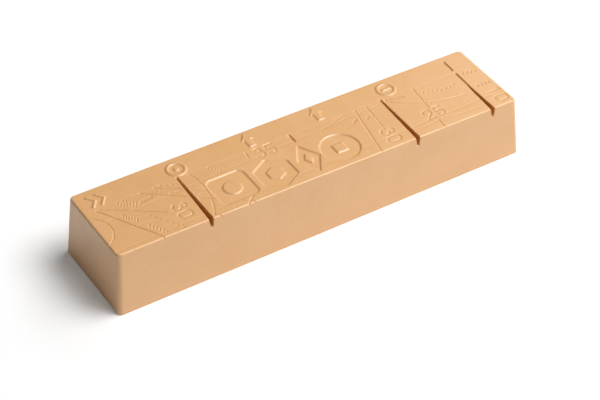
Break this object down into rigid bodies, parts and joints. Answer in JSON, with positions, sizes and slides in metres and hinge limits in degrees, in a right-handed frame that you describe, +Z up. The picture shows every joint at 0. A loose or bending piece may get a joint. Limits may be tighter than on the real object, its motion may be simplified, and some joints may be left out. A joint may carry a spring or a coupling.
{
  "type": "scored couverture bar",
  "caption": "Long drafted cast bar of caramel-coloured couverture that snaps into weighed portions along tapered scores, with shallow relief on its top face.",
  "frame": {"origin": "middle of the flat underside, which is the face that was open in the mould", "axes": "+X along the bar towards the narrowest portion, +Y across it towards the long edge where the scores run out, +Z up through the relief face"},
  "size_m": [0.1469, 0.0344, 0.0226],
  "materials": {
    "caramel_couverture": "satin, as cast against a polished mould; dull and granular where it is broken"
  },
  "bodies": {
    "portion_30": {"portion_30_g": "caramel_couverture"},
    "portion_65": {"portion_65_g": "caramel_couverture"},
    "portion_25": {"portion_25_g": "caramel_couverture"},
    "portion_10": {"portion_10_g": "caramel_couverture"}
  },
  "joints": [
    {"name": "portion_30_pulls_off", "type": "slide", "parent": "portion_65", "child": "portion_30", "axis": [-1, 0, 0], "range_m": [0, 0.03]},
    {"name": "portion_25_pulls_off", "type": "slide", "parent": "portion_65", "child": "portion_25", "axis": [1, 0, 0], "range_m": [0, 0.03]},
    {"name": "portion_10_pulls_off", "type": "slide", "parent": "portion_25", "child": "portion_10", "axis": [1, 0, 0], "range_m": [0, 0.03]}
  ]
}
